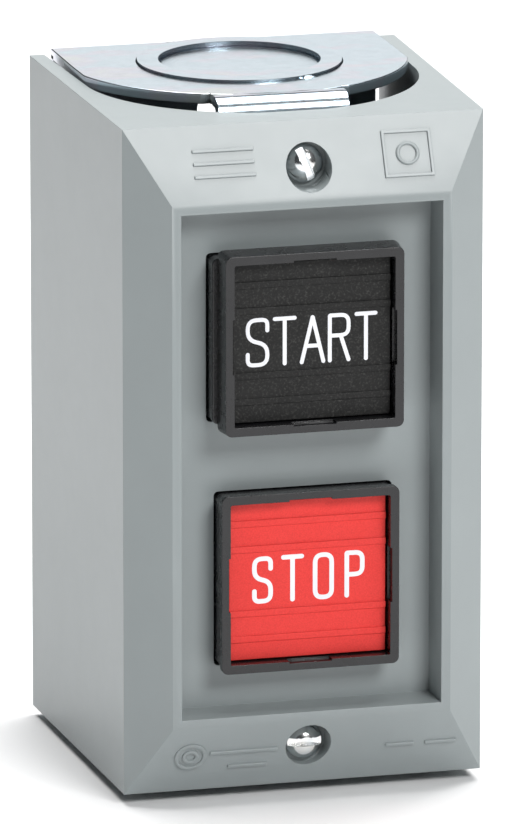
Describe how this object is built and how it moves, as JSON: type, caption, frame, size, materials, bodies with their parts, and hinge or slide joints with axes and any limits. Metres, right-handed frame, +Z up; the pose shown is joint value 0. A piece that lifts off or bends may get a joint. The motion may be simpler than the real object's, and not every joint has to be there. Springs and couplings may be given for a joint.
{
  "type": "push button control station",
  "caption": "Surface-mounted start and stop push button station for a magnetic motor starter, with a moulded cover on a steel base and spring-return contacts.",
  "frame": {"origin": "centre of the steel base's back face, where it meets the wall", "axes": "+Y into the wall, so the buttons face -Y; +Z up along the height; +X to the right seen from the front"},
  "size_m": [0.0528, 0.0544, 0.0962],
  "materials": {
    "cover_plastic": "satin grey moulded plastic",
    "zinc_steel": "bright zinc plate with a faint iridescence",
    "zinc_screw": "bright zinc plated screw",
    "black_gloss": "semi-gloss black moulding",
    "black_plate": "fine-textured black",
    "red_plate": "fine-textured red",
    "black_inner": "matte black moulding",
    "brown_phenolic": "dull brown moulding compound",
    "fibre_liner": "dull insulating fibre sheet",
    "contact_brass": "rolled brass strip",
    "bridge_copper": "rolled copper alloy",
    "silver_tip": "silver contact face",
    "spring_steel": "drawn spring wire",
    "green_screw": "green dyed screw"
  },
  "bodies": {
    "station": {"cover": "cover_plastic", "cover_screws": "zinc_screw", "base_bracket": "zinc_steel", "ground_screw": "green_screw", "insulating_liner": "fibre_liner", "contact_block": "brown_phenolic", "operator_frame": "black_inner", "assembly_screws": "zinc_screw", "open_contacts": "contact_brass", "closed_contacts": "contact_brass", "fixed_contact_tips": "silver_tip", "terminal_plates": "zinc_steel", "terminal_screws": "zinc_screw", "start_return_spring": "spring_steel", "stop_return_spring": "spring_steel"},
    "start_button": {"start_cap": "black_gloss", "start_legend_plate": "black_plate", "start_plunger": "black_inner", "start_stem_clips": "spring_steel", "start_contact_spring": "spring_steel"},
    "start_contact": {"start_bridge": "bridge_copper", "start_bridge_tips": "silver_tip"},
    "stop_button": {"stop_cap": "black_gloss", "stop_legend_plate": "red_plate", "stop_plunger": "black_inner", "stop_stem_clips": "spring_steel", "stop_contact_spring": "spring_steel"},
    "stop_contact": {"stop_bridge": "bridge_copper", "stop_bridge_tips": "silver_tip"}
  },
  "joints": [
    {"name": "start_press", "type": "slide", "parent": "station", "child": "start_button", "axis": [0, 1, 0], "range_m": [0, 0.0024], "stiffness_N_per_m": 700, "springref_m": -0.004, "deforming": ["start_return_spring", "start_contact_spring"]},
    {"name": "start_contact_slide", "type": "slide", "parent": "station", "child": "start_contact", "axis": [0, 1, 0], "range_m": [0, 0.0018]},
    {"name": "stop_press", "type": "slide", "parent": "station", "child": "stop_button", "axis": [0, 1, 0], "range_m": [0, 0.0024], "stiffness_N_per_m": 700, "springref_m": -0.004, "deforming": ["stop_return_spring", "stop_contact_spring"]},
    {"name": "stop_contact_slide", "type": "slide", "parent": "station", "child": "stop_contact", "axis": [0, 1, 0], "range_m": [0, 0.0018]}
  ],
  "couplings": [
    {"joint": "start_contact_slide", "follows": "start_press", "ratio": 0.75},
    {"joint": "stop_contact_slide", "follows": "stop_press", "ratio": 0.75}
  ]
}
